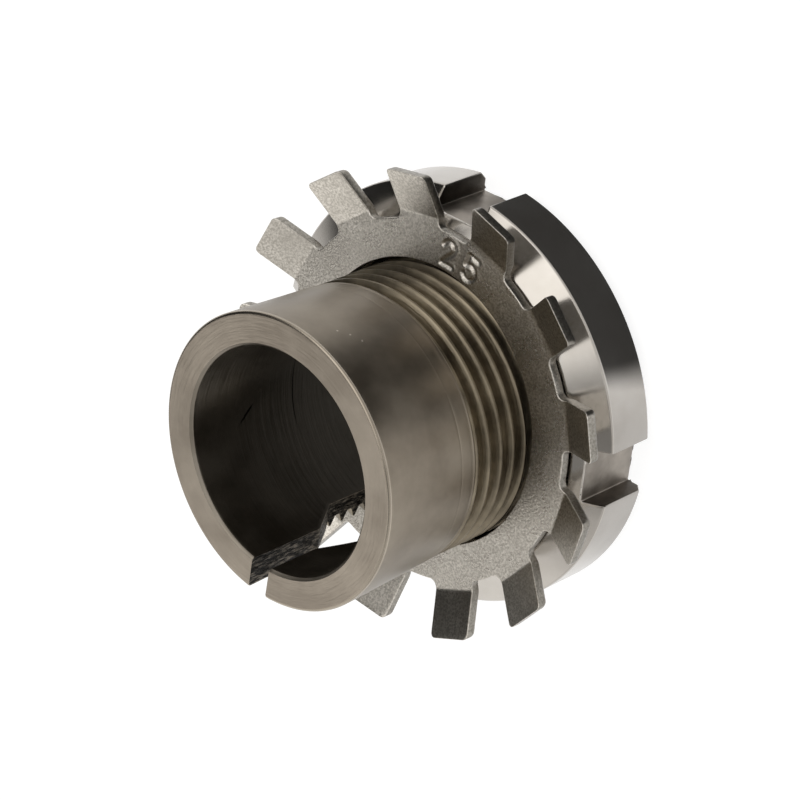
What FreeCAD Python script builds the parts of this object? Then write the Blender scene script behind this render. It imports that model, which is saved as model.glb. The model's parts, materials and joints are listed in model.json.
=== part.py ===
import FreeCAD, Part
import math
import os

from FreeCAD import Vector

# Tapered adapter sleeve with its tab washer and slotted lock nut, for a 20 mm shaft.
# Millimetres. Z runs along the shaft: the threaded small end stands on Z = 0, the big end is up.
# The nut and washer sit near the small end, as delivered, before the bearing is fitted.

# Sleeve
shaft_diameter = 20.0
sleeve_length = 26.0
thread_wall = 2.45          # from the bore to the thread's crest
thread_depth = 0.92         # of the 1.5 mm pitch profile, whose fine turns are cut with the finish
seat_length = 10.0          # smooth tapered length, from the big end
seat_step = 0.08            # the seat's small side stands this much above the thread's crest
seat_step_length = 0.6      # and falls to it on a chamfer
taper = 1 / 12              # change of diameter over length
bore_chamfer = 0.25
big_end_chamfer = 0.3

# Slit along the whole sleeve, and the wider keyway that it opens into on two sloping shoulders
slit_angle = -112.4         # degrees about Z
slit_width = 2.0
keyway_width = 5.7
left_shoulder = (8.1, 11.1)  # depths below the big end where the shoulder starts and ends
right_shoulder = (5.6, 9.9)

# Lock nut
nut_width = 7.0
nut_wall = 6.55             # from the thread's crest to the rim
nut_chamfer_width = 3.0
nut_chamfer_angle = 30.0
nut_rear_chamfer = 0.75
nut_slot_count = 4
nut_slot_width = 5.0
nut_slot_depth = 2.0
nut_slot_angle = -19.3
nut_stand_off = 0.3         # the sleeve's small end passes the nut by this much
thread_lead_in = 0.6
running_clearance = 0.05    # radial, between the sleeve's thread crest and the nut

# Tab washer
washer_thickness = 1.0
washer_clearance = 0.3      # radial, between the thread's crest and the hole
washer_band = 3.4           # from the hole to the ring's rim
tab_count = 13
tab_width = 4.4
tab_length = 5.2            # beyond the rim, before bending
tab_lean = 23.7             # degrees out of the washer's plane, towards the big end
tab_lean_swing = 2.7        # the tabs on the +X side lean this much more, those on -X less
tab_tip_rounding = 0.5      # of the tip's two corners; the tip's face is square to the washer's ring
tab_root_flat = 0.55        # from the rim to the bend
tab_bend_radius = 0.6
tab_root_fillet = 0.65
key_tab_side_clearance = 0.35
key_tab_tip_clearance = 0.75  # from the bore's radius, so that the shaft passes
washer_turn = -0.9          # degrees, play of the key tab in the keyway
washer_shift = 0.2          # play of the hole on the thread
washer_shift_angle = 32.0
washer_tilt = 1.6           # degrees about X: the loose washer leans on the nut at its +Y side

# Worked out from the above
bore_radius = shaft_diameter / 2
thread_radius = bore_radius + thread_wall
seat_start = sleeve_length - seat_length
seat_start_radius = thread_radius + seat_step
big_end_radius = seat_start_radius + seat_length * taper / 2
nut_radius = thread_radius + nut_wall
nut_rear = nut_stand_off
nut_front = nut_rear + nut_width
hole_radius = thread_radius + washer_clearance
ring_radius = hole_radius + washer_band
tab_bend_start = ring_radius + tab_root_flat


def turned(points):
    """One ring turned about Z from its half section, given as (radius, height) points."""
    wire = Part.makePolygon([Vector(r, 0, z) for r, z in points + points[:1]])
    return Part.Face(wire).revolve(Vector(0, 0, 0), Vector(0, 0, 1), 360)


def prism(points, low, high):
    """A bar along +X from low to high whose section is given as (sideways, height) points."""
    wire = Part.makePolygon([Vector(low, s, z) for s, z in points + points[:1]])
    return Part.Face(wire).extrude(Vector(high - low, 0, 0))


def about_z(shape, degrees):
    return shape.rotated(Vector(0, 0, 0), Vector(0, 0, 1), degrees)


def round_edges(shape, radius, keep):
    """Fillets the edges of the shape that the function keep accepts."""
    return shape.makeFillet(radius, [edge for edge in shape.Edges if keep(edge)])


def sleeve_blank():
    """The turned sleeve: cylindrical bore, threaded cylinder at the bottom, tapered seat above."""
    c = bore_chamfer
    return turned([
        (bore_radius + c, 0),
        (thread_radius - thread_depth, 0),
        (thread_radius, thread_depth),
        (thread_radius, seat_start - seat_step_length),
        (seat_start_radius, seat_start),
        (big_end_radius - big_end_chamfer * taper / 2, sleeve_length - big_end_chamfer),
        (big_end_radius - big_end_chamfer, sleeve_length),
        (bore_radius + c, sleeve_length),
        (bore_radius, sleeve_length - c),
        (bore_radius, c),
    ])


def slit_cutter():
    """The sawn slit with the milled keyway that widens from it on two sloping shoulders."""
    left_start, left_end = (sleeve_length - depth for depth in left_shoulder)
    right_start, right_end = (sleeve_length - depth for depth in right_shoulder)
    slit = slit_width / 2
    key = keyway_width / 2
    over = 1.0
    section = [
        (slit, sleeve_length + over),
        (-slit, sleeve_length + over),
        (-slit, left_start),
        (-key, left_end),
        (-key, -over),
        (key, -over),
        (key, right_end),
        (slit, right_start),
    ]
    return about_z(prism(section, bore_radius / 2, big_end_radius + over), slit_angle)


def adapter_sleeve():
    return sleeve_blank().cut(slit_cutter())


def lock_nut():
    """A round nut with a wide chamfer towards the washer and four spanner slots."""
    bore = thread_radius + running_clearance
    chamfer_height = nut_chamfer_width * math.tan(math.radians(nut_chamfer_angle))
    body = turned([
        (bore + thread_lead_in, nut_rear),
        (nut_radius - nut_rear_chamfer, nut_rear),
        (nut_radius, nut_rear + nut_rear_chamfer),
        (nut_radius, nut_front - chamfer_height),
        (nut_radius - nut_chamfer_width, nut_front),
        (bore + thread_lead_in, nut_front),
        (bore, nut_front - thread_lead_in),
        (bore, nut_rear + thread_lead_in),
    ])
    for number in range(nut_slot_count):
        slot = Part.makeBox(nut_radius, nut_slot_width, nut_width + 2,
                            Vector(nut_radius - nut_slot_depth, -nut_slot_width / 2, nut_rear - 1))
        body = body.cut(about_z(slot, nut_slot_angle + number * 360 / nut_slot_count))
    return body


def bent_tab(lean):
    """One outer tab along +X: flat at its root, then bent up by lean degrees to an upright tip face."""
    angle = math.radians(lean)
    thick = washer_thickness
    inner = tab_bend_radius
    outer = inner + thick
    centre = Vector(tab_bend_start, 0, thick + inner)
    along = Vector(math.cos(angle), 0, math.sin(angle))

    def on_bend(radius, turn):
        return centre + Vector(radius * math.sin(turn), 0, -radius * math.cos(turn))

    straight = tab_length - tab_root_flat - (inner + thick / 2) * angle
    root = ring_radius - washer_band / 2
    low_end = on_bend(outer, angle)
    top_end = on_bend(inner, angle)
    top_tip = top_end + along * straight
    low_tip = top_tip - Vector(0, 0, thick / math.cos(angle))
    outline = Part.Wire([
        Part.makeLine(Vector(root, 0, 0), Vector(tab_bend_start, 0, 0)),
        Part.Arc(on_bend(outer, 0), on_bend(outer, angle / 2), low_end).toShape(),
        Part.makeLine(low_end, low_tip),
        Part.makeLine(low_tip, top_tip),
        Part.makeLine(top_tip, top_end),
        Part.Arc(top_end, on_bend(inner, angle / 2), on_bend(inner, 0)).toShape(),
        Part.makeLine(Vector(tab_bend_start, 0, thick), Vector(root, 0, thick)),
        Part.makeLine(Vector(root, 0, thick), Vector(root, 0, 0)),
    ])
    outline.translate(Vector(0, -tab_width / 2, 0))
    tab = Part.Face(outline).extrude(Vector(0, tab_width, 0))
    return round_edges(tab, tab_tip_rounding, lambda edge: (
        edge.BoundBox.XLength + edge.BoundBox.YLength < 0.01 and edge.BoundBox.XMin > tab_bend_start))


def key_tab():
    """The flat inner tab along +X that runs in the sleeve's keyway."""
    width = keyway_width - 2 * key_tab_side_clearance
    bar = Part.makeBox(hole_radius + washer_band / 2, width, washer_thickness, Vector(0, -width / 2, 0))
    return bar.cut(Part.makeCylinder(bore_radius + key_tab_tip_clearance, washer_thickness))


def lock_washer():
    """A pressed ring with bent outer tabs. One outer tab lies on the line of the key tab."""
    ring = Part.makeCylinder(ring_radius, washer_thickness).cut(
        Part.makeCylinder(hole_radius, washer_thickness))
    first = slit_angle + washer_turn
    tabs = []
    for number in range(tab_count):
        place = first + number * 360 / tab_count
        lean = tab_lean + tab_lean_swing * math.cos(math.radians(place))
        tabs.append(about_z(bent_tab(lean), place))
    washer = ring.multiFuse(tabs + [about_z(key_tab(), first)]).removeSplitter()

    def at_tab_root(edge):
        box = edge.BoundBox
        place = math.hypot(box.Center.x, box.Center.y)
        upright = box.ZLength > washer_thickness - 0.01 and box.XLength + box.YLength < 0.01
        return upright and abs(place - ring_radius) < 0.01

    washer = round_edges(washer, tab_root_fillet, at_tab_root)
    washer.rotate(Vector(0, 0, 0), Vector(1, 0, 0), -washer_tilt)
    shift = math.radians(washer_shift_angle)
    lift = nut_front + ring_radius * math.sin(math.radians(washer_tilt))
    washer.translate(Vector(washer_shift * math.cos(shift), washer_shift * math.sin(shift), lift))
    return washer


def main():
    os.makedirs("parts", exist_ok=True)
    pieces = {
        "adapter_sleeve": adapter_sleeve(),
        "lock_washer": lock_washer(),
        "lock_nut": lock_nut(),
    }
    for name, shape in pieces.items():
        solid = shape.Solids[0]
        print(name, len(shape.Solids), "solid,", round(solid.Volume, 1), "mm3,", solid.isValid())
        solid.exportStep(f"parts/{name}.step")


main()
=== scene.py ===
import json
import math

import bmesh
import bpy
import numpy as np
from mathutils import Matrix, Vector


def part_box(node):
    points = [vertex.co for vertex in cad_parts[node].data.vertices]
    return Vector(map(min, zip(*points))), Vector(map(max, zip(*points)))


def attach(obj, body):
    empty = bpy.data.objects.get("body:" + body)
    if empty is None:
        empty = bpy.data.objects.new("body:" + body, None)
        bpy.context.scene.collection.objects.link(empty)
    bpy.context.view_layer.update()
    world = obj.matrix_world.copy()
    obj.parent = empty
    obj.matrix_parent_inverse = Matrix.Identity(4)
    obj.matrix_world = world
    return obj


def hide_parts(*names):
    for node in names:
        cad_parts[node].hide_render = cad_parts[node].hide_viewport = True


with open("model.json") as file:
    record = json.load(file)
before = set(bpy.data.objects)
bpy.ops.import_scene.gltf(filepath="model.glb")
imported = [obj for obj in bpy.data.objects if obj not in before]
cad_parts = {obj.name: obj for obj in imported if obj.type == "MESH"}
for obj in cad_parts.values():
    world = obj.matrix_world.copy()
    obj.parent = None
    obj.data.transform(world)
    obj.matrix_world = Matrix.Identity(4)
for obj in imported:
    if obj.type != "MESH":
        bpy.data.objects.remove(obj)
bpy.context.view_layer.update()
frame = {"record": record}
mm = 0.001
halfTurn = math.pi

# sizes in millimetres that the pieces share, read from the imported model
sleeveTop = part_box("adapter_sleeve")[1].z / mm
nutLow, nutHigh = (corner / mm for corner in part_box("lock_nut"))
boreRadius = next(m["dims"]["r_mm"] for m in frame["record"]["mounts"] if m["name"] == "shaft_bore")

thread = {
    "pitch": 1.5,
    "crestRadius": boreRadius + 2.45,
    "depth": 0.92,
    "crestPhase": 0.02,    # share of the pitch by which the crest lies above Z = 0 on the +X side
    "crestHalf": 0.065,    # half the crest's flat, as a share of the pitch
    "rootHalf": 0.125,
}


def smoothStep(x, low, high):
    # 0 below low, 1 above high, 3t^2 - 2t^3 between them
    t = np.clip((x - low) / (high - low), 0, 1)
    return t * t * (3 - 2 * t)


def around(radius, angle, z):
    # points at a radius and an angle in radians about Z
    radius, angle, z = np.broadcast_arrays(radius, angle, z)
    return np.stack([radius * np.cos(angle), radius * np.sin(angle), z], -1)


def between(first, last, steps):
    # a grid of straight lines from each point of one row to the same point of another
    t = np.linspace(0, 1, steps)[:, None, None]
    return first[None] * (1 - t) + last[None] * t


def threadHeights(phases, low, high):
    # heights on the +X side of helical grid rows that pass through the given phases of the thread
    turns = np.arange(math.floor(low / thread["pitch"]) - 1, math.ceil(high / thread["pitch"]) + 2)
    rows = (turns[:, None] + np.array(phases)[None] + thread["crestPhase"]).ravel() * thread["pitch"]
    return np.sort(rows)


def grooveDepth(z, angle):
    # how deep the thread is cut: 0 on the crest's flat, full depth on the root's flat, and between them
    # the mean of a straight flank and one that is rounded into both flats
    phase = (z / thread["pitch"] - angle / (2 * halfTurn) - thread["crestPhase"]) % 1
    off = np.minimum(phase, 1 - phase)
    flank = 0.5 - thread["rootHalf"] - thread["crestHalf"]
    straight = np.clip((off - thread["crestHalf"]) / flank, 0, 1)
    return thread["depth"] * (straight + smoothStep(straight, 0, 1)) / 2


def buildPiece(name, grids):
    # one object from (points, slot) grids, where points is rows by columns by 3 in mm
    points, quads, slots, start = [], [], [], 0
    for grid, slot in grids:
        rows, columns = grid.shape[:2]
        index = np.arange(rows * columns).reshape(rows, columns) + start
        corners = [index[:-1, :-1], index[:-1, 1:], index[1:, 1:], index[1:, :-1]]
        faces = np.stack(corners, -1).reshape(-1, 4)
        points.append(grid.reshape(-1, 3))
        quads.append(faces)
        slots.append(np.full(len(faces), slot, np.int32))
        start += rows * columns
    mesh = bpy.data.meshes.new(name)
    mesh.from_pydata(np.concatenate(points) * mm, [], np.concatenate(quads))
    mesh.polygons.foreach_set("material_index", np.concatenate(slots))
    piece = bpy.data.objects.new(name, mesh)
    bpy.context.scene.collection.objects.link(piece)
    closeSeams(piece)
    return piece


def closeSeams(piece):
    # joins the grids where their edges meet, drops faces with no area and points the rest outwards
    shape = bmesh.new()
    shape.from_mesh(piece.data)
    bmesh.ops.remove_doubles(shape, verts=shape.verts, dist=0.0004 * mm)
    bmesh.ops.dissolve_degenerate(shape, edges=shape.edges, dist=0.0004 * mm)
    bmesh.ops.recalc_face_normals(shape, faces=shape.faces)
    shape.to_mesh(piece.data)
    shape.free()


def applyModifiers(piece):
    made = bpy.data.meshes.new_from_object(piece.evaluated_get(bpy.context.evaluated_depsgraph_get()))
    piece.modifiers.clear()
    piece.data = made


def readPoints(piece):
    flat = np.empty(len(piece.data.vertices) * 3)
    piece.data.vertices.foreach_get("co", flat)
    return flat.reshape(-1, 3) / mm


def writePoints(piece, points):
    piece.data.vertices.foreach_set("co", (points * mm).ravel())
    piece.data.update()


def shadeByAngle(piece, degrees):
    # smooth shading with hard edges where faces meet at more than the angle
    shape = bmesh.new()
    shape.from_mesh(piece.data)
    for edge in shape.edges:
        edge.smooth = len(edge.link_faces) == 2 and edge.calc_face_angle() < math.radians(degrees)
    for face in shape.faces:
        face.smooth = True
    shape.to_mesh(piece.data)
    shape.free()


# adapter sleeve

sleeve = {
    "taper": 1 / 24,              # radius over length
    "seatStart": sleeveTop - 10.0,
    "seatStep": 0.08,             # the seat's small side stands this much above the crest
    "stepLength": 0.6,
    "burr": (0.035, 0.06),        # raised edge between that step and the thread: how high, half how wide
    "toolLine": (1.0, 0.015, 0.05),   # a fine turned line: how far above the step, how deep, half how wide
    "bigEndRounding": 0.28,
    "edgeRows": 8,                # of that rounding
    "boreChamfer": 0.25,
    "slitAngle": math.radians(-112.4),
    "slitHalf": 1.0,
    "keywayHalf": 2.85,
    "shoulders": ((5.6, 9.9), (8.1, 11.1)),   # below the big end, on the two sides of the slit
    "lipRounding": 0.12,
    "threadRunOut": (0.55, 0.05),     # how far below the step the thread starts to fade and is gone
    "phases": (-0.11, -0.065, 0, 0.065, 0.11, 0.16, 0.22, 0.28, 0.33, 0.375, 0.44, 0.56, 0.625, 0.67, 0.72,
               0.78, 0.84),
    "columns": 184,
    "wallSteps": 14,
    "wallRoughness": 0.05,
}
threadRows = (0.35, sleeve["seatStart"] - sleeve["stepLength"] - 0.1)   # where rows follow the thread


def seatRadius(z):
    # the seat's cone with a fine turned line, the step down to the crest and the big end's rounding
    small = thread["crestRadius"] + sleeve["seatStep"]
    cone = small + (z - sleeve["seatStart"]) * sleeve["taper"]
    fall = np.clip((sleeve["seatStart"] - z) / sleeve["stepLength"], 0, 1) * sleeve["seatStep"]
    above, depth, width = sleeve["toolLine"]
    line = depth * np.exp(-((z - sleeve["seatStart"] - above) / width) ** 2)
    rounding = sleeve["bigEndRounding"]
    up = np.clip(z - (sleeveTop - rounding), 0, rounding)
    corner = rounding - np.sqrt(rounding ** 2 - up ** 2)
    return np.where(z > sleeve["seatStart"], cone, small - fall) - line - corner


def sleeveOuterRadius(z, angle):
    # the seat's radius less the thread, which fades out below the step, and the small end's lead-in cone
    end = sleeve["seatStart"] - sleeve["stepLength"]
    fading, gone = sleeve["threadRunOut"]
    cut = grooveDepth(z, angle) * (1 - smoothStep(z, end - fading, end - gone))
    height, width = sleeve["burr"]
    burr = height * np.exp(-((z - end) / width) ** 2)
    leadIn = thread["crestRadius"] - thread["depth"] + z
    return np.minimum(seatRadius(z) - cut + burr, leadIn)


def sleeveBoreRadius(z):
    # the bore's radius, opened by a 45 degree chamfer at both ends
    chamfer = sleeve["boreChamfer"]
    return boreRadius + np.maximum(0, chamfer - z) + np.maximum(0, chamfer - (sleeveTop - z))


def slitHalfWidth(z, shoulder):
    # half the slit near the big end, half the keyway near the small end, a straight slope between
    start, end = (sleeveTop - depth for depth in shoulder)
    share = np.clip((start - z) / (start - end), 0, 1)
    return sleeve["slitHalf"] + (sleeve["keywayHalf"] - sleeve["slitHalf"]) * share


def sleeveHeights(angle):
    # rows by columns of heights: level rows at the ends and on the seat, helical rows along the thread
    low, high = threadRows
    corner = sleeveTop - sleeve["bigEndRounding"]
    bottom = np.linspace(0, low, 6)
    step = high + np.array([0.04, 0.07, 0.1, 0.13, 0.16, 0.35, 0.55, 0.7, 1.4, 1.6, 1.65, 1.7, 1.75, 1.8])
    seat = np.linspace(step[-1] + 0.2, corner, 32)
    turn = np.linspace(0, halfTurn / 2, sleeve["edgeRows"] + 1)[1:]
    top = corner + sleeve["bigEndRounding"] * np.sin(turn)
    helix = threadHeights(sleeve["phases"], low, high)[:, None] + thread["pitch"] * angle / (2 * halfTurn)
    helix = np.clip(helix, low, high)
    level = np.ones_like(angle)
    return np.concatenate([bottom[:, None] * level, helix, np.r_[step, seat, top][:, None] * level])


def makeSleeve():
    # columns run round the sleeve from one wall of the slit to the other, close together at its lips
    lip = sleeve["lipRounding"]
    near = np.array([0, 0.25, 0.55, 1]) * lip / thread["crestRadius"]
    even = np.linspace(near[-1], 2 * halfTurn - near[-1], sleeve["columns"])[1:-1]
    share = np.r_[near, even, 2 * halfTurn - near[::-1]][None] / (2 * halfTurn)
    z = sleeveHeights(sleeve["slitAngle"] + share * 2 * halfTurn)
    sides = [slitHalfWidth(z, shoulder) for shoulder in sleeve["shoulders"]]

    def shell(radius, sign):
        # the columns' angles from wall to wall, and the quarter circle by which each lip draws the skin in
        first, last = (np.arcsin(side / radius) for side in sides)
        angle = sleeve["slitAngle"] + first + share * (2 * halfTurn - first - last)
        away = np.minimum(share, 1 - share) * 2 * halfTurn * radius
        drop = lip - np.sqrt(lip ** 2 - (lip - np.minimum(away, lip)) ** 2)
        return angle, drop * sign

    rough = sleeveOuterRadius(z, sleeve["slitAngle"] + share * 2 * halfTurn)
    angle, drop = shell(rough, -1)
    outer = around(sleeveOuterRadius(z, angle) + drop, angle, z)
    angle, drop = shell(sleeveBoreRadius(z), 1)
    bore = around(sleeveBoreRadius(z) + drop, angle, z)
    steps = sleeve["wallSteps"]
    walls = [milledWall(outer[:, side], bore[:, side], sign) for side, sign in ((0, 1), (-1, -1))]
    ends = [between(outer[row], bore[row], steps) for row in (0, -1)]
    top = np.searchsorted(z[:, 0], threadRows[1])
    edge = len(outer) - sleeve["edgeRows"]
    return buildPiece("sleeve_turned", [
        (outer[top:edge], 0), (bore, 1), (walls[0], 2), (walls[1], 2), (ends[0], 3), (ends[1], 3),
        # the big end's rounding, slot 5, takes a lighter tint that paints a highlight line round the end
        # the thread's rows, slot 4, take a darker tint that is painted shade in the turns
        (outer[:top + 1], 4), (outer[edge - 1:], 5)])


def milledWall(outerEdge, boreEdge, sign):
    # a wall of the slit between its two lips, torn by the cutter into ridges that run along the slit
    wall = between(outerEdge, boreEdge, sleeve["wallSteps"])
    depth = np.linspace(0, 1, sleeve["wallSteps"])[:, None]
    z = wall[..., 2]
    ridge = (np.sin(depth * 37 + np.sin(z * 1.9) * 1.4 + sign) * 0.5
             + np.sin(depth * 71 + z * 3.1 + np.sin(z * 5.3) * 1.1) * 0.3
             + np.sin(z * 9.7 + depth * 11 * sign) * 0.2)
    hold = smoothStep(depth, 0, 0.12) * (1 - smoothStep(depth, 0.88, 1))
    ends = smoothStep(z, 0, 0.4) * (1 - smoothStep(z, sleeveTop - 0.4, sleeveTop))
    across = np.array([-math.sin(sleeve["slitAngle"]), math.cos(sleeve["slitAngle"]), 0])
    return wall + (sign * sleeve["wallRoughness"] * ridge * hold * ends)[..., None] * across


# tab washer

washer = {
    "bottom": nutHigh.z,
    "thickness": 1.0,
    "holeRadius": thread["crestRadius"] + 0.3,
    "band": 3.4,
    "tabs": 13,
    "tabHalf": 2.2,
    "tabLength": 5.2,
    "rootFillet": 0.65,
    "rootFlat": 0.55,
    "bendRadius": 0.6,
    "lean": 23.7,
    "leanSwing": 2.7,
    "tipRounding": 0.5,
    "keyHalf": 2.5,
    "keyTipRadius": boreRadius + 0.75,
    "turn": math.radians(-0.9),
    "shift": 0.2,
    "shiftAngle": math.radians(32),
    "tilt": math.radians(1.6),
    "frontRounding": 0.08,
    "frontRows": 4,             # of that rounding, which takes the same finish as the sheet's front
    "backRounding": 0.3,        # the punch drew the sheet's back edge in
    "ringRows": 40,
    "numberAngle": math.radians(62),
    "numberPlaces": (-1.3, 1.3),
    "numberScale": 1.08,        # half its height in mm
    "strokeWidth": 0.17,        # where the stamped groove is at 37 % of its depth
    "strokeDepth": 0.13,
    "strokeBurr": 0.03,
}
ringRadius = washer["holeRadius"] + washer["band"]
bendStart = ringRadius + washer["rootFlat"]


def washerSector(inset):
    # the flat sheet's sector round the tab on +X, its outer edge drawn in by the inset:
    # the rim with its fillets and the line across the tab's root, then the tab's grid
    rim, fillet = ringRadius - inset, washer["rootFillet"] + inset
    half, corner = washer["tabHalf"] - inset, washer["tipRounding"] - inset
    centre = np.array([math.sqrt((rim + fillet) ** 2 - (half + fillet) ** 2), half + fillet])
    root = math.atan2(centre[1], centre[0])
    arc = around(rim, np.linspace(halfTurn / washer["tabs"], root, 14), 0)[:, :2]
    turn = np.linspace(root + halfTurn, 1.5 * halfTurn, 9)[1:]
    side = np.concatenate([arc, centre + fillet * np.stack([np.cos(turn), np.sin(turn)], -1)])

    turn = np.linspace(0, halfTurn / 2, 7)
    away = corner * (1 - np.cos(turn))
    inner = np.linspace(half - corner, corner - half, 26)[1:-1]
    y = np.concatenate([half - away, inner, away[::-1] - half])
    short = np.r_[corner * (1 - np.sin(turn)), 0 * inner, corner * (1 - np.sin(turn[::-1]))]
    tip = ringRadius + washer["tabLength"] - inset - short
    fixed = np.r_[centre[0], bendStart + np.linspace(0, 0.9, 9)][:, None] * np.ones_like(y)
    x = np.concatenate([fixed, np.linspace(fixed[-1], tip, 11)[1:]])
    tab = np.stack([x, y * np.ones_like(x), 0 * x], -1)
    rimRow = np.concatenate([side, tab[0, 1:-1, :2], side[::-1] * [1, -1]])
    return np.c_[rimRow, np.zeros(len(rimRow))], tab


def sectorEdge(inset):
    # the sector's outer edge in one run: rim, fillet, round the tab, fillet, rim
    rimRow, tab = washerSector(inset)
    half = (len(rimRow) - len(tab[0])) // 2
    return np.concatenate([rimRow[:half], tab[:, 0], tab[-1, 1:-1], tab[::-1, -1], rimRow[-half:]])


def sheetFace(inset, depth, rows, withKey):
    # the front or back of one sector: grids of the ring, the tab and, on one sector, the key tab
    down = np.array([0, 0, -depth])
    rimRow, tab = washerSector(inset)
    angle = np.arctan2(rimRow[:, 1], rimRow[:, 0])
    keyAngle = math.asin(washer["keyHalf"] / washer["holeRadius"])
    for wanted in (keyAngle, -keyAngle):
        angle[np.argmin(abs(angle - wanted))] = wanted
    hole = around(washer["holeRadius"], angle, 0)
    grids = [between(hole, rimRow, rows) + down, tab + down]
    edges = [hole + down]
    if withKey:
        inside = abs(angle) < keyAngle + 1e-6
        radius = np.linspace(washer["holeRadius"], washer["keyTipRadius"], 7)[:, None]
        y = hole[inside, 1] * np.ones_like(radius)
        key = np.stack([np.sqrt(radius ** 2 - y ** 2), y, 0 * y], -1) + down
        grids.append(key)
        first, last = np.flatnonzero(inside)[[0, -1]]
        edges = [hole[:first + 1] + down, hole[last:] + down, key[:, 0], key[-1], key[:, -1]]
    return grids, edges


def flatWasher():
    # the sheet before bending, its front in Z = 0: both faces, the rounded outer edge and the hole's edge
    front, back, thick = washer["frontRounding"], washer["backRounding"], washer["thickness"]
    turn = np.linspace(0, halfTurn / 2, washer["frontRows"])
    profile = list(zip(front * (1 - np.sin(turn)), front * (1 - np.cos(turn))))
    turn = np.linspace(0, halfTurn / 2, 6)
    profile += list(zip(back * (1 - np.cos(turn)), thick - back * (1 - np.sin(turn))))
    rim = np.stack([sectorEdge(inset) - [0, 0, depth] for inset, depth in profile])
    grids = []
    for number in range(washer["tabs"]):
        a = number * 2 * halfTurn / washer["tabs"]
        turned = np.array([[math.cos(a), math.sin(a), 0], [-math.sin(a), math.cos(a), 0], [0, 0, 1]])
        top, topEdges = sheetFace(front, 0, washer["ringRows"], number == 0)
        bottom, bottomEdges = sheetFace(back, thick, 6, number == 0)
        walls = [between(high, low, 3) for high, low in zip(topEdges, bottomEdges)]
        grids += [(grid @ turned, 0) for grid in top + bottom + walls + [rim[:washer["frontRows"]]]]
        grids.append((rim[washer["frontRows"] - 1:] @ turned, 1))
    return buildPiece("washer_pressed", grids)


def digitStrokes():
    # the bare number 25 as lines through points across and up in mm, from arcs and corners
    def arc(x, y, radius, first, last):
        turn = np.radians(np.linspace(first, last, 12))
        return np.stack([x + radius * np.cos(turn), y + radius * np.sin(turn)], -1)

    two = np.concatenate([arc(0, 0.45, 0.55, 165, -35), [[-0.6, -1], [0.62, -1]]])
    five = np.concatenate([[[0.52, 1], [-0.42, 1], [-0.5, 0.12]], arc(-0.02, -0.36, 0.64, 128, -145)])
    placed = zip((two, five), washer["numberPlaces"])
    return [line * washer["numberScale"] + [place, 0] for line, place in placed]


def stampNumber(points):
    # a groove of bell section along the strokes, with the metal it pushes up beside it
    middle = (washer["holeRadius"] + ringRadius) / 2
    radius, angle = np.hypot(points[:, 0], points[:, 1]), np.arctan2(points[:, 1], points[:, 0])
    centre = washer["numberAngle"] - sleeve["slitAngle"] - washer["turn"]
    off = (centre - angle + halfTurn) % (2 * halfTurn) - halfTurn
    place = np.stack([off * middle, radius - middle], -1)
    near = np.full(len(points), 9.0)
    for line in digitStrokes():
        for start, end in zip(line[:-1], line[1:]):
            along = np.clip((place - start) @ (end - start) / ((end - start) @ (end - start)), 0, 1)
            near = np.minimum(near, np.linalg.norm(place - start - along[:, None] * (end - start), axis=1))
    width = washer["strokeWidth"]
    pressed = washer["strokeDepth"] * np.exp(-(near / width) ** 2)
    raised = washer["strokeBurr"] * np.exp(-((near - 2 * width) / width) ** 2)
    front = points[:, 2] > -0.01
    return points - np.stack([0 * near, 0 * near, front * (pressed - raised)], -1)


def bendTabs(points):
    # rolls each tab up round a cylinder above its root, then straight on at its lean, its tip face upright
    sector = 2 * halfTurn / washer["tabs"]
    place = np.round(np.arctan2(points[:, 1], points[:, 0]) / sector) * sector
    cos, sin = np.cos(place), np.sin(place)
    x = points[:, 0] * cos + points[:, 1] * sin
    y = points[:, 1] * cos - points[:, 0] * sin
    z = points[:, 2]
    first = sleeve["slitAngle"] + washer["turn"]
    lean = np.radians(washer["lean"] + washer["leanSwing"] * np.cos(place + first))
    x = x + z * np.tan(lean) * smoothStep(x, bendStart + 0.9, ringRadius + washer["tabLength"] - 0.4)
    middle = washer["bendRadius"] + washer["thickness"] / 2
    rolled = np.clip((x - bendStart) / middle, 0, lean)
    rest = np.maximum(x - bendStart - middle * lean, 0)
    radius = washer["bendRadius"] - z
    bentX = np.where(x > bendStart, bendStart + radius * np.sin(rolled) + rest * np.cos(lean), x)
    bentZ = np.where(x > bendStart, washer["bendRadius"] - radius * np.cos(rolled) + rest * np.sin(lean), z)
    cos, sin = np.cos(place + first), np.sin(place + first)
    return np.stack([bentX * cos - y * sin, bentX * sin + y * cos, bentZ + washer["thickness"]], -1)


def seatWasher(points):
    # leans the loose washer on the nut's face at its +Y side and moves it by its play on the thread
    cos, sin = math.cos(washer["tilt"]), math.sin(washer["tilt"])
    leaned = points @ np.array([[1, 0, 0], [0, cos, -sin], [0, sin, cos]])
    play = around(washer["shift"], washer["shiftAngle"], washer["bottom"] + ringRadius * sin)
    return leaned + play


def makeWasher():
    piece = flatWasher()
    edge = piece.modifiers.new("hole edge", "BEVEL")
    edge.width = washer["frontRounding"] * mm
    edge.segments = 2
    edge.angle_limit = math.radians(60)
    applyModifiers(piece)
    writePoints(piece, seatWasher(bendTabs(stampNumber(readPoints(piece)))))
    return piece


# lock nut

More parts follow.
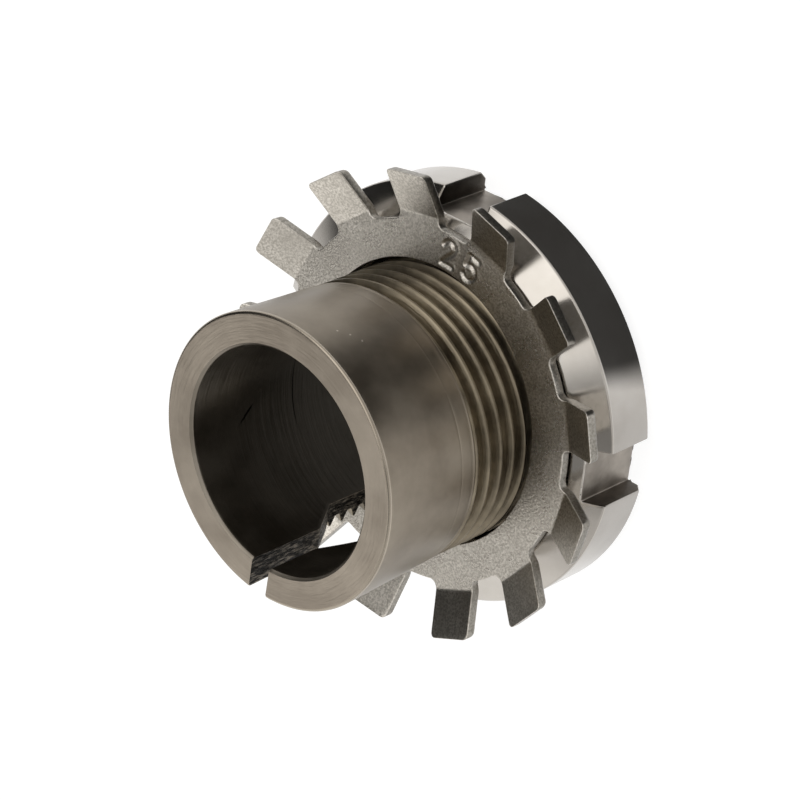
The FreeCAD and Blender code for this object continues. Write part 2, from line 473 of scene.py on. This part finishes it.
nut = {
    "rear": nutLow.z,
    "front": nutHigh.z,
    "radius": nutHigh.x,
    "frontChamfer": 3.0,
    "chamferSlope": math.tan(math.radians(30)),
    "rearChamfer": 0.75,
    "slots": 4,
    "slotHalf": 2.5,
    "slotDepth": 2.0,
    "slotAngle": math.radians(-19.3),
    "leadIn": 0.6,
    "boreClearance": 0.05,
    "threadClearance": 0.04,      # beside the flanks, as a share of the pitch
    "crestClearance": 0.19,
    "edgeRounding": 0.12,
    "support": 0.2,               # how far from a sharp edge the next loop runs
    "faceLoop": 14.6,             # radius of the loop in the middle of an end face
    "rimSteps": 23,               # points on half the rim between two slots
    "phases": (0.1, 0.2, 0.33, 0.36, 0.5, 0.64, 0.67, 0.8, 0.9),
}


def nutOutline(radius):
    # the rim at one radius, quarter by quarter: arc, slot wall, slot floor, slot wall, arc. Spread and down
    # are shares of the slot's half width and of its depth
    floor = nut["radius"] - nut["slotDepth"]
    half = nut["slotHalf"]
    corner = math.hypot(floor, half)
    quarter = halfTurn / nut["slots"]
    spread = np.array([0.92, 0.7, 0.45, 0.2, 0, -0.2, -0.45, -0.7, -0.92])
    down = np.array([0.3, 0.6, 0.85, 1])
    steps, near = nut["rimSteps"], nut["support"]
    if radius >= corner:
        last = math.asin(half / radius)
        rim = np.r_[np.linspace(quarter, last + 0.5 / radius, steps), last + near / radius, last]
        arc = np.stack([radius * np.cos(rim), radius * np.sin(rim)], -1)
        wall = np.stack([arc[-1, 0] + (floor - arc[-1, 0]) * down, half + 0 * down], -1)
        base = np.stack([floor + 0 * spread, half * spread], -1)
    else:
        inner = math.asin(half / corner)
        rim = np.r_[np.linspace(quarter, inner + 0.5 / radius, steps), inner + near / radius, inner]
        arc = np.stack([radius * np.cos(rim), radius * np.sin(rim)], -1)
        wall = arc[-1] + 0 * down[:, None]
        across = np.arctan2(half * spread, floor)
        base = np.stack([radius * np.cos(across), radius * np.sin(across)], -1)
        base *= np.minimum(1, floor / np.maximum(base[:, :1], 1e-9)) if radius > floor else 1
    side = np.concatenate([arc, wall])
    one = np.concatenate([side, base, side[::-1] * [1, -1]])[::-1]
    turns = [nut["slotAngle"] + number * 2 * quarter for number in range(nut["slots"])]
    loops = [one[:-1] @ np.array([[math.cos(a), math.sin(a)], [-math.sin(a), math.cos(a)]]) for a in turns]
    loop = np.concatenate(loops)
    return np.concatenate([loop, loop[:1]])


def nutProfile():
    # (radius, height) of the loops from the rear end of the thread round the outside to its front end, with
    # some between the edges, which keep the shading even
    rear, front, radius = nut["rear"], nut["front"], nut["radius"]
    bore = thread["crestRadius"] + nut["boreClearance"]
    lead = nut["leadIn"]
    corner = math.hypot(radius - nut["slotDepth"], nut["slotHalf"])
    face = radius - nut["frontChamfer"]
    floor = radius - nut["slotDepth"]
    near, middle = nut["support"], nut["faceLoop"]
    chamfer = [(r, front - (r - face) * nut["chamferSlope"]) for r in (
        radius, radius - near, radius - 0.9, corner, floor, face + near, face)]
    low, high = rear + nut["rearChamfer"], chamfer[0][1]
    rearFace = [(bore, rear + lead), (bore + lead, rear), (middle, rear), (floor, rear), (corner, rear),
                (radius - nut["rearChamfer"], rear), (radius, low)]
    side = [(radius, z) for z in (low + near, low + 0.9, low + 1.7, high - 1.4, high - 0.7, high - near)]
    frontFace = [(face - near, front), (middle, front), (bore + lead, front), (bore, front - lead)]
    return rearFace + side + chamfer + frontFace


def makeNut():
    # the outside gets rounded edges first, and the thread is joined to its open bore after that
    shell = np.stack([np.c_[nutOutline(r), np.full(len(nutOutline(r)), z)] for r, z in nutProfile()])
    piece = buildPiece("nut_turned", [(shell, 0)])
    edge = piece.modifiers.new("broken edges", "BEVEL")
    edge.width = nut["edgeRounding"] * mm
    edge.segments = 2
    edge.angle_limit = math.radians(25)
    edge.use_clamp_overlap = False
    applyModifiers(piece)
    markSlots(piece)
    joinThread(piece, shell[0])
    return piece


def markSlots(piece):
    # the slots' upright floors and their walls, darkened with painted shade, get the milled finishes
    faces = piece.data.polygons
    centre, normal = np.empty(len(faces) * 3), np.empty(len(faces) * 3)
    faces.foreach_get("center", centre)
    faces.foreach_get("normal", normal)
    x, y, z = centre.reshape(-1, 3).T / mm
    quarter = halfTurn / nut["slots"]
    angle = (np.arctan2(y, x) - nut["slotAngle"] + quarter) % (2 * quarter) - quarter
    out, across = np.hypot(x, y) * np.cos(angle), np.hypot(x, y) * np.sin(angle)
    inside = (abs(across) < nut["slotHalf"] + 0.01) & (out > nut["radius"] - nut["slotDepth"] - 0.02)
    upright = abs(normal.reshape(-1, 3)[:, 2]) < 0.3
    finish = np.where(abs(across) > nut["slotHalf"] - 0.02, 3, 2)
    faces.foreach_set("material_index", np.where(inside & upright, finish, 0).astype(np.int32))


def joinThread(piece, loop):
    # the nut's thread: a ridge that fills the sleeve's groove less a clearance and dies out at both ends
    angle = np.unwrap(np.arctan2(loop[:, 1], loop[:, 0]))[None]
    low, high, pitch = nut["rear"] + nut["leadIn"], nut["front"] - nut["leadIn"], thread["pitch"]
    rows = threadHeights(nut["phases"], low - pitch, high + pitch)[:, None] + pitch * angle / (2 * halfTurn)
    z = np.clip(rows, low, high)
    bore = thread["crestRadius"] + nut["boreClearance"]
    phase = (z / pitch - angle / (2 * halfTurn) - thread["crestPhase"]) % 1
    off = abs(phase - 0.5)
    slopeWidth = 0.5 - thread["rootHalf"] - thread["crestHalf"]
    room = (0.5 - thread["crestHalf"] - nut["threadClearance"] - off) / slopeWidth * thread["depth"]
    ridge = np.clip(room, 0, thread["depth"] - nut["crestClearance"])
    fade = smoothStep(z, low, low + 0.5) * (1 - smoothStep(z, high - 0.5, high))
    grid = around(bore - ridge * fade, angle, z)
    inside = buildPiece("nut_thread", [(grid, 1)])
    join(piece, inside)


def join(piece, extra):
    # adds the extra piece's faces to the piece and closes the seam between them
    shape = bmesh.new()
    shape.from_mesh(piece.data)
    shape.from_mesh(extra.data)
    bmesh.ops.remove_doubles(shape, verts=shape.verts, dist=0.0004 * mm)
    bmesh.ops.recalc_face_normals(shape, faces=shape.faces)
    shape.to_mesh(piece.data)
    shape.free()
    bpy.data.objects.remove(extra)


# finishes

def colour(hexValue):
    # an sRGB hex value as linear red, green, blue and alpha
    parts = [int(hexValue[i:i + 2], 16) / 255 for i in (1, 3, 5)]
    return [p / 12.92 if p <= 0.04045 else ((p + 0.055) / 1.055) ** 2.4 for p in parts] + [1.0]


def add(tree, kind, inputs=None, **settings):
    # one node, with its settings, and each input either a value or a socket to link from
    node = tree.nodes.new(kind)
    for name, value in settings.items():
        setattr(node, name, value)
    for name, value in (inputs or {}).items():
        if isinstance(value, bpy.types.NodeSocket):
            tree.links.new(value, node.inputs[name])
        else:
            node.inputs[name].default_value = value
    return node


def newMaterial(name):
    material = bpy.data.materials.new(name)
    material.use_nodes = True
    material.node_tree.nodes.clear()
    return material, material.node_tree


# carbon steel from the lathe, by surface: the tint's two ends, and sizes in mm. The rings are spaced a
# little wider than a tool's real feed, so that they show in the render
seatSteel = {
    "name": "turned steel seat", "dark": "#7b7266", "light": "#968d80",     # oiled, a satin brown grey
    "roughness": (0.34, 0.46), "anisotropy": 0.4, "cloudSize": 6.0,
    "ringSpacing": 0.12, "ringDrift": 0.6, "ringDepth": 0.003, "ringStrength": 0.5,
}
edgeSteelPaintedHighlight = dict(seatSteel, name="steel edge with painted highlight", dark="#988f83", light="#aea598",
                 roughness=(0.22, 0.28))                                    # a lighter tint, a painted highlight line round the end
threadSteelPaintedShade = {
    "name": "thread cut steel with painted shade", "dark": "#686053", "light": "#948a78",      # darker tint: painted shade in the turns
    "roughness": (0.32, 0.42), "anisotropy": 0.2, "cloudSize": 4.0,
    "ringSpacing": 0.22, "ringDrift": 0.8, "ringDepth": 0.04, "ringStrength": 0.9,
}
faceSteel = {
    "name": "faced steel end", "dark": "#a0968a", "light": "#b9afa2",       # pale, with fine facing rings
    "roughness": (0.36, 0.46), "anisotropy": 0.3, "cloudSize": 5.0,
    "ringSpacing": 0.25, "ringDrift": 1.2, "ringDepth": 0.04, "ringStrength": 0.8,
}
boreSteel = {
    "name": "bored steel", "dark": "#827b71", "light": "#968f85",           # dull, with coarser rings
    "roughness": (0.3, 0.45), "anisotropy": 0.3, "cloudSize": 5.0,
    "ringSpacing": 0.4, "ringDrift": 0.6, "ringDepth": 0.05, "ringStrength": 0.8,
}
nutSteel = {
    "name": "bright turned steel", "dark": "#b3aea8", "light": "#c4c0bb",   # nearly a mirror
    "roughness": (0.15, 0.21), "anisotropy": 0.2, "cloudSize": 7.0,
    "ringSpacing": 0.2, "ringDrift": 1.0, "ringDepth": 0.0005, "ringStrength": 0.3,
}
slotSteel = {
    "name": "milled steel slot floors", "dark": "#928b83", "light": "#bab2a9",  # matt from the cutter
    "roughness": (0.36, 0.48), "anisotropy": 0.0, "cloudSize": 3.0,
    "ringSpacing": 0.3, "ringDrift": 6.0, "ringDepth": 0.02, "ringStrength": 0.8,
}
# the walls' much darker tint is painted shade in the slots
slotWallSteelPaintedShade = dict(slotSteel, name="milled steel slot walls with painted shade", dark="#45403a", light="#645e57")

# wear on the turned surfaces: the marks' colour, the surface's radius, and for each mark its bearing and
# lean in degrees, its height, half its length and half its width in mm
boreWear = {"colour": "#1b1814", "radius": boreRadius, "marks": {
    "scratch": (171.7, -39.8, 19.58, 1.15, 0.13),
    "deeper ring": (169, 90, 14.0, 4.0, 0.07),
}}
seatWear = {"colour": "#cbc3b5", "radius": 12.85, "marks": {
    "upper nick": (58.4, 0, 23.1, 0.1, 0.09),
    "middle nick": (54.7, 20, 22.4, 0.11, 0.09),
    "lower nick": (50.4, 45, 21.9, 0.13, 0.08),
}}


def markWear(tree, place, wear, tint):
    # each mark is an ellipse on the turned surface, where the tint gives way to the mark's colour
    for bearing, lean, height, length, width in wear["marks"].values():
        a = math.radians(bearing)
        middle = Vector((wear["radius"] * math.cos(a), wear["radius"] * math.sin(a), height)) * mm
        local = add(tree, "ShaderNodeMapping", {
            "Vector": place, "Location": middle, "Rotation": (math.radians(lean), 0, a),
            "Scale": (mm, width * mm, length * mm)}, vector_type="TEXTURE").outputs[0]
        away = add(tree, "ShaderNodeVectorMath", {0: local}, operation="LENGTH").outputs["Value"]
        share = add(tree, "ShaderNodeMapRange", {
            "Value": away, "From Min": 1.2, "From Max": 0.6}).outputs["Result"]
        tint = add(tree, "ShaderNodeMix", {
            "Factor": share, 6: tint, 7: colour(wear["colour"])}, data_type="RGBA").outputs[2]
    return tint


def turnedSteel(look, wear=None):
    # fine rings round the axis, which blur and streak the reflections, and clouds of oil and handling
    material, tree = newMaterial(look["name"])
    place = add(tree, "ShaderNodeTexCoord").outputs["Object"]
    flat = add(tree, "ShaderNodeVectorMath", {0: place, 1: (1, 1, 0)}, operation="MULTIPLY").outputs[0]
    radius = add(tree, "ShaderNodeVectorMath", {0: flat}, operation="LENGTH").outputs["Value"]
    way = add(tree, "ShaderNodeVectorMath", {0: flat}, operation="NORMALIZE").outputs[0]
    height = add(tree, "ShaderNodeSeparateXYZ", {0: place}).outputs["Z"]
    side = add(tree, "ShaderNodeSeparateXYZ", {0: way})
    drift = look["ringDrift"] * mm
    wayX = add(tree, "ShaderNodeMath", {0: side.outputs["X"], 1: drift}, operation="MULTIPLY").outputs[0]
    wayY = add(tree, "ShaderNodeMath", {0: side.outputs["Y"], 1: drift}, operation="MULTIPLY").outputs[0]
    rings = add(tree, "ShaderNodeCombineXYZ", {"X": radius, "Y": height, "Z": wayX}).outputs[0]
    line = add(tree, "ShaderNodeTexNoise", {
        "Vector": rings, "W": wayY, "Scale": 1 / (look["ringSpacing"] * mm),
        "Detail": 3.0, "Roughness": 0.6}, noise_dimensions="4D").outputs["Fac"]
    cloud = add(tree, "ShaderNodeTexNoise", {
        "Vector": place, "Scale": 1 / (look["cloudSize"] * mm),
        "Detail": 4.0, "Roughness": 0.55}).outputs["Fac"]
    low, high = look["roughness"]
    rough = add(tree, "ShaderNodeMapRange", {
        "Value": cloud, "From Min": 0.3, "From Max": 0.7, "To Min": low, "To Max": high}).outputs["Result"]
    stain = add(tree, "ShaderNodeMapRange", {
        "Value": cloud, "From Min": 0.35, "From Max": 0.65}).outputs["Result"]
    tint = add(tree, "ShaderNodeMix", {
        "Factor": stain, 6: colour(look["dark"]), 7: colour(look["light"])}, data_type="RGBA").outputs[2]
    if wear:
        tint = markWear(tree, place, wear, tint)
    bump = add(tree, "ShaderNodeBump", {
        "Height": line, "Strength": look["ringStrength"], "Distance": look["ringDepth"] * mm}).outputs[0]
    tangent = add(tree, "ShaderNodeTangent", direction_type="RADIAL", axis="Z").outputs[0]
    shader = add(tree, "ShaderNodeBsdfPrincipled", {
        "Base Color": tint, "Metallic": 1.0, "Roughness": rough, "Anisotropic": look["anisotropy"],
        "Normal": bump, "Tangent": tangent}).outputs[0]
    add(tree, "ShaderNodeOutputMaterial", {"Surface": shader})
    return material


# phosphated sheet steel: matt and mottled, with a pitted surface, and darker on its outer edge
sheetSteel = {
    "name": "pressed sheet steel", "dark": "#b0aba3", "light": "#faf5ed",
    "grainSize": 0.2,           # mm, as the cloud's size and the pits' depth
    "cloudSize": 3.0,
    "pitDepth": 0.07,
    "pits": 0.7,                # how strong they are on the ring
    "pitsOnTabs": 0.3,
    "roughness": (0.22, 0.34),
    "roughnessOnTabs": 0.3,
}
cutSteel = dict(sheetSteel, name="punched sheet edge", dark="#7d7972", light="#b9b4ab", pits=0.3)


def pressedSteel(look):
    # a fine mottled grain and its pits on the ring, which fade on the tabs, where the bending tool rubbed
    material, tree = newMaterial(look["name"])
    place = add(tree, "ShaderNodeTexCoord").outputs["Object"]
    grain = add(tree, "ShaderNodeTexNoise", {
        "Vector": place, "Scale": 1 / (look["grainSize"] * mm),
        "Detail": 6.0, "Roughness": 0.65}).outputs["Fac"]
    cloud = add(tree, "ShaderNodeTexNoise", {
        "Vector": place, "Scale": 1 / (look["cloudSize"] * mm),
        "Detail": 4.0, "Roughness": 0.6}).outputs["Fac"]
    speck = add(tree, "ShaderNodeMapRange", {
        "Value": grain, "From Min": 0.4, "From Max": 0.6}).outputs["Result"]
    mixed = add(tree, "ShaderNodeMath", {0: speck, 1: cloud}, operation="MULTIPLY").outputs[0]
    tint = add(tree, "ShaderNodeMix", {
        "Factor": mixed, 6: colour(look["dark"]), 7: colour(look["light"])}, data_type="RGBA").outputs[2]
    flat = add(tree, "ShaderNodeVectorMath", {0: place, 1: (1, 1, 0)}, operation="MULTIPLY").outputs[0]
    radius = add(tree, "ShaderNodeVectorMath", {0: flat}, operation="LENGTH").outputs["Value"]
    onRing = add(tree, "ShaderNodeMapRange", {
        "Value": radius, "From Min": (ringRadius + 0.9) * mm,
        "From Max": (ringRadius + 0.4) * mm}).outputs["Result"]
    low, high = look["roughness"]
    coarse = add(tree, "ShaderNodeMapRange", {
        "Value": cloud, "To Min": low, "To Max": high}).outputs["Result"]
    rough = add(tree, "ShaderNodeMix", {
        "Factor": onRing, 2: look["roughnessOnTabs"], 3: coarse}).outputs[0]
    pits = add(tree, "ShaderNodeMapRange", {
        "Value": onRing, "To Min": look["pitsOnTabs"], "To Max": look["pits"]}).outputs["Result"]
    bump = add(tree, "ShaderNodeBump", {
        "Height": grain, "Strength": pits, "Distance": look["pitDepth"] * mm}).outputs[0]
    shader = add(tree, "ShaderNodeBsdfPrincipled", {
        "Base Color": tint, "Metallic": 1.0, "Roughness": rough, "Normal": bump}).outputs[0]
    add(tree, "ShaderNodeOutputMaterial", {"Surface": shader})
    return material


# the slit's walls as the cutter left them, with torn metal: the dark tint is painted shade in the narrow
# slit, and the light one on the higher tears painted glints
slitSteelPaintedShadeAndGlints = {
    "name": "milled steel slit with painted shade and glints", "dark": "#1c1a17", "light": "#8f877c",
    "tearWidth": 0.24,          # mm, as their depth
    "tearStretch": 4.0,         # how much longer than wide they are, along the slit
    "tearDepth": 0.12,
    "roughness": 0.5,
}


def milledSteelWithPaintedLight(look):
    # streaks along the slit, the higher ones lighter as painted glints over the painted shade
    material, tree = newMaterial(look["name"])
    place = add(tree, "ShaderNodeTexCoord").outputs["Object"]
    along = add(tree, "ShaderNodeMapping", {
        "Vector": place, "Scale": (1, 1, 1 / look["tearStretch"])}).outputs[0]
    tear = add(tree, "ShaderNodeTexNoise", {
        "Vector": along, "Scale": 1 / (look["tearWidth"] * mm),
        "Detail": 5.0, "Roughness": 0.65}).outputs["Fac"]
    paintedGlint = add(tree, "ShaderNodeMapRange", {
        "Value": tear, "From Min": 0.47, "From Max": 0.66}).outputs["Result"]
    tint = add(tree, "ShaderNodeMix", {
        "Factor": paintedGlint, 6: colour(look["dark"]), 7: colour(look["light"])}, data_type="RGBA").outputs[2]
    bump = add(tree, "ShaderNodeBump", {
        "Height": tear, "Strength": 1.0, "Distance": look["tearDepth"] * mm}).outputs[0]
    shader = add(tree, "ShaderNodeBsdfPrincipled", {
        "Base Color": tint, "Metallic": 1.0, "Roughness": look["roughness"], "Normal": bump}).outputs[0]
    add(tree, "ShaderNodeOutputMaterial", {"Surface": shader})
    return material


# stage, light and camera

camera = {
    "target": Vector((-0.30, 0.81, 10.55)),     # mm, as the distance
    "distance": 267.6,
    "azimuth": 20.25,                           # degrees, as the elevation and the roll
    "elevation": 42.21,
    "roll": -112.46,
    "lens": 141.2,
}


def makeCamera():
    azimuth, elevation, roll = (math.radians(camera[k]) for k in ("azimuth", "elevation", "roll"))
    back = Vector((math.cos(elevation) * math.cos(azimuth), math.cos(elevation) * math.sin(azimuth),
                   math.sin(elevation)))
    level = Vector((0, 0, 1)).cross(back).normalized()
    upright = back.cross(level)
    right = level * math.cos(roll) + upright * math.sin(roll)
    turned = Matrix((right, back.cross(right), back)).transposed().to_4x4()
    data = bpy.data.cameras.new("camera")
    data.lens = camera["lens"]
    data.clip_start, data.clip_end = 0.01, 10
    eye = bpy.data.objects.new("camera", data)
    eye.matrix_world = Matrix.Translation((camera["target"] + back * camera["distance"]) * mm) @ turned
    bpy.context.scene.collection.objects.link(eye)
    bpy.context.scene.camera = eye


def makeSheet(name, halfSide, height):
    # a square level sheet of the stage, its sizes in mm
    mesh = bpy.data.meshes.new(name)
    corners = np.array([(-1, -1, 0), (1, -1, 0), (1, 1, 0), (-1, 1, 0)]) * halfSide + [0, 0, height]
    mesh.from_pydata(corners * mm, [], [(0, 1, 2, 3)])
    sheet = bpy.data.objects.new(name, mesh)
    bpy.context.scene.collection.objects.link(sheet)
    return sheet


whiteFloor = {
    "halfSide": 3000,
    "paper": "#e7e7e7",     # what soft light bounces off
    "faint": "#959595",     # takes the shadow
    "glow": 0.86,           # shows as white with the light on the faint paper
}


def makeFloor():
    # white to the camera and to the metal, with the object's faint shadow, and pale paper to soft light
    sheet = makeSheet("floor", whiteFloor["halfSide"], 0)
    material, tree = newMaterial("white floor")
    path = add(tree, "ShaderNodeLightPath").outputs
    paper = add(tree, "ShaderNodeBsdfDiffuse", {"Color": colour(whiteFloor["paper"])}).outputs[0]
    faint = add(tree, "ShaderNodeBsdfDiffuse", {"Color": colour(whiteFloor["faint"])}).outputs[0]
    glow = add(tree, "ShaderNodeEmission", {
        "Color": (1, 1, 1, 1), "Strength": whiteFloor["glow"]}).outputs[0]
    white = add(tree, "ShaderNodeAddShader", {0: faint, 1: glow}).outputs[0]
    metal = add(tree, "ShaderNodeMath", {
        0: path["Is Glossy Ray"], 1: path["Is Transmission Ray"]}, operation="MAXIMUM").outputs[0]
    shown = add(tree, "ShaderNodeMath", {
        0: path["Is Camera Ray"], 1: metal}, operation="MAXIMUM").outputs[0]
    surface = add(tree, "ShaderNodeMixShader", {"Fac": shown, 1: paper, 2: white}).outputs[0]
    add(tree, "ShaderNodeOutputMaterial", {"Surface": surface})
    sheet.data.materials.append(material)


# dark cards just above the floor, for the dark shapes that bright metal reflects, each by its middle's x
# and y, the radii where it is full and where it is gone in mm, and how dark it is
cards = {
    # the first card is painted shade: it stands for the floor's own shade under the sleeve and in its bore,
    # as the metal reflects it
    "paintedShadeUnderSleeve": (0, 0, 11, 18, 0.9),
    "beforeNut": (20.7, 17.4, 14, 18, 0.95),
    "beforeSeat": (36, 37, 24, 38, 0.85),
    "besideNut": (21, -12, 7, 15, 0.2),
}
cardSheet = {"halfSide": 120, "height": 0.05, "black": "#303030"}


def makeCards():
    # soft dark discs that only reflected rays meet
    sheet = makeSheet("dark cards", cardSheet["halfSide"], cardSheet["height"])
    material, tree = newMaterial("black card")
    place = add(tree, "ShaderNodeTexCoord").outputs["Object"]
    dark = 0.0
    for x, y, full, none, density in cards.values():
        away = add(tree, "ShaderNodeVectorMath", {
            0: place, 1: (x * mm, y * mm, 0)}, operation="DISTANCE").outputs["Value"]
        share = add(tree, "ShaderNodeMapRange", {
            "Value": away, "From Min": none * mm, "From Max": full * mm, "To Max": density},
            interpolation_type="SMOOTHSTEP").outputs["Result"]
        dark = add(tree, "ShaderNodeMath", {0: dark, 1: share}, operation="MAXIMUM").outputs[0]
    reflected = add(tree, "ShaderNodeLightPath").outputs["Is Glossy Ray"]
    cover = add(tree, "ShaderNodeMath", {0: dark, 1: reflected}, operation="MULTIPLY").outputs[0]
    clear = add(tree, "ShaderNodeBsdfTransparent").outputs[0]
    black = add(tree, "ShaderNodeBsdfDiffuse", {"Color": colour(cardSheet["black"])}).outputs[0]
    surface = add(tree, "ShaderNodeMixShader", {"Fac": cover, 1: clear, 2: black}).outputs[0]
    add(tree, "ShaderNodeOutputMaterial", {"Surface": surface})
    sheet.data.materials.append(material)


# pale walls, and what stands before them: each patch by its bearing and height in degrees, its half width
# in degrees where it is full and where it is gone, and how bright it is, where 1 is white
studio = {
    "tint": "#fffdf9",
    "walls": 0.76,
    "patches": {
        "softboxAbove": (97, 67, 15, 38, 1.8),
        "greyCard": (-62, 62, 12, 26, 0.3),
        "blackCard": (155, 34, 26, 36, 0.02),
        "softboxLeft": (229, 20, 16, 31, 1.1),
    },
}


def makeWorld():
    # the studio's soft patches of light and dark, one over another, each fading out at its rim
    world = bpy.data.worlds.new("studio")
    world.use_nodes = True
    tree = world.node_tree
    tree.nodes.clear()
    way = add(tree, "ShaderNodeTexCoord").outputs["Generated"]
    level = studio["walls"]
    for bearing, height, full, none, brightness in studio["patches"].values():
        a, e = math.radians(bearing), math.radians(height)
        centre = (math.cos(e) * math.cos(a), math.cos(e) * math.sin(a), math.sin(e))
        facing = add(tree, "ShaderNodeVectorMath", {
            0: way, 1: centre}, operation="DOT_PRODUCT").outputs["Value"]
        share = add(tree, "ShaderNodeMapRange", {
            "Value": facing,
            "From Min": math.cos(math.radians(none)),
            "From Max": math.cos(math.radians(full))}, interpolation_type="SMOOTHSTEP").outputs["Result"]
        level = add(tree, "ShaderNodeMix", {"Factor": share, 2: level, 3: brightness}).outputs[0]
    back = add(tree, "ShaderNodeBackground", {
        "Color": colour(studio["tint"]), "Strength": level}).outputs[0]
    add(tree, "ShaderNodeOutputWorld", {"Surface": back})
    bpy.context.scene.world = world


# each body's node, its material slot, its shape and the finishes by which the shape's faces are numbered
pieces = {
    "sleeve": ("adapter_sleeve", "sleeve_steel", makeSleeve, lambda: [
        turnedSteel(seatSteel, seatWear), turnedSteel(boreSteel, boreWear), milledSteelWithPaintedLight(slitSteelPaintedShadeAndGlints),
        turnedSteel(faceSteel), turnedSteel(threadSteelPaintedShade), turnedSteel(edgeSteelPaintedHighlight)]),
    "washer": ("lock_washer", "washer_steel", makeWasher, lambda: [
        pressedSteel(sheetSteel), pressedSteel(cutSteel)]),
    "nut": ("lock_nut", "nut_steel", makeNut, lambda: [
        turnedSteel(nutSteel), turnedSteel(nutSteel), turnedSteel(slotSteel), turnedSteel(slotWallSteelPaintedShade)]),
}
for body, (node, slotName, make, finishes) in pieces.items():
    piece = make()
    for finish in finishes():
        piece.data.materials.append(finish)
    shadeByAngle(piece, 36)
    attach(piece, body)
    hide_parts(node)
    print(body, "made,", len(piece.data.polygons), "faces")

makeFloor()
makeCards()
makeWorld()
makeCamera()
bpy.context.scene.view_settings.view_transform = "Standard"
print("stage, light and camera set")
